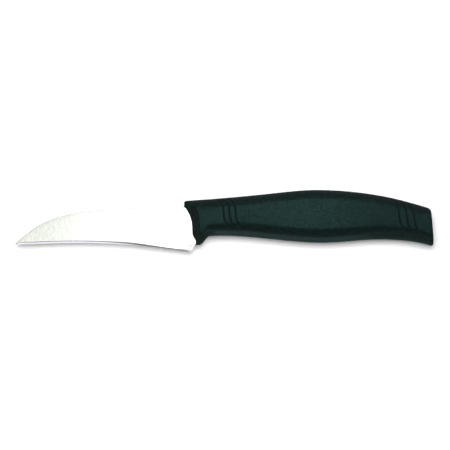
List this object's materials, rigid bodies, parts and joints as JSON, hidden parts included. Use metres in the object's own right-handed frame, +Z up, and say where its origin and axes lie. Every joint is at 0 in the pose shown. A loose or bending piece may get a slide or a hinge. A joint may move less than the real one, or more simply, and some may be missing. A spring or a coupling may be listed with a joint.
{
  "type": "paring knife",
  "caption": "Short curved-blade paring knife for peeling and turning, with a concave cutting edge and a one-piece moulded grip with a small finger guard.",
  "frame": {"origin": "middle of the knife's box on the surface that it lies on", "axes": "+X from the point to the butt, +Y from the cutting edge to the spine, +Z up from the side that it lies on to its other side"},
  "size_m": [0.1802, 0.0266, 0.015],
  "materials": {
    "blade_steel": "finely ground across the blade, with a honed edge bevel",
    "handle_polymer": "dark green-black moulded polymer with a fine matt grain"
  },
  "bodies": {
    "root": {"blade": "blade_steel", "handle": "handle_polymer"}
  },
  "joints": []
}
